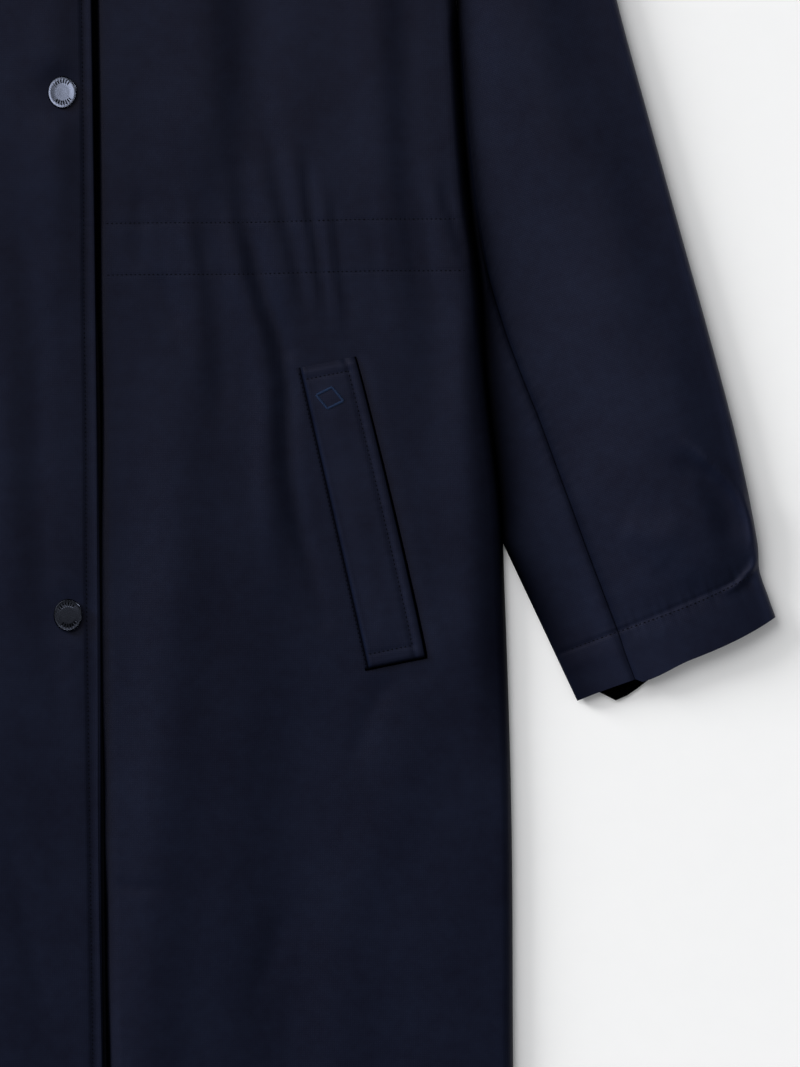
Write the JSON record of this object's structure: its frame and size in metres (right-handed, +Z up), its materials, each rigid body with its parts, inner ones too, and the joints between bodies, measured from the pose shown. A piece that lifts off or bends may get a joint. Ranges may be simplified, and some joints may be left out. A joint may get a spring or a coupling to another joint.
{
  "type": "parka",
  "caption": "Long women's parka laid flat on its back: snap-front flap, hood, two-piece sleeves, slanted pocket welts and a gathered waist casing.",
  "frame": {"origin": "on the surface the parka lies on, under the middle of its overall box", "axes": "+Y from the hem towards the hood, +X towards the wearer's left, +Z up off the surface"},
  "size_m": [0.8474, 1.342, 0.0135],
  "materials": {
    "shell_cloth": "matt",
    "facing_cloth": "matt",
    "snap_metal": "dark brushed"
  },
  "bodies": {
    "root": {"back": "shell_cloth", "front_left": "shell_cloth", "front_right": "shell_cloth", "facing_right": "facing_cloth", "sleeve_top_left": "shell_cloth", "sleeve_top_right": "shell_cloth", "sleeve_under_left": "shell_cloth", "sleeve_under_right": "shell_cloth", "welt_left": "shell_cloth", "welt_right": "shell_cloth", "hood_left": "shell_cloth", "hood_right": "shell_cloth", "hood_back": "facing_cloth", "snap_1": "snap_metal", "snap_2": "snap_metal", "snap_3": "snap_metal", "snap_4": "snap_metal"}
  },
  "joints": []
}
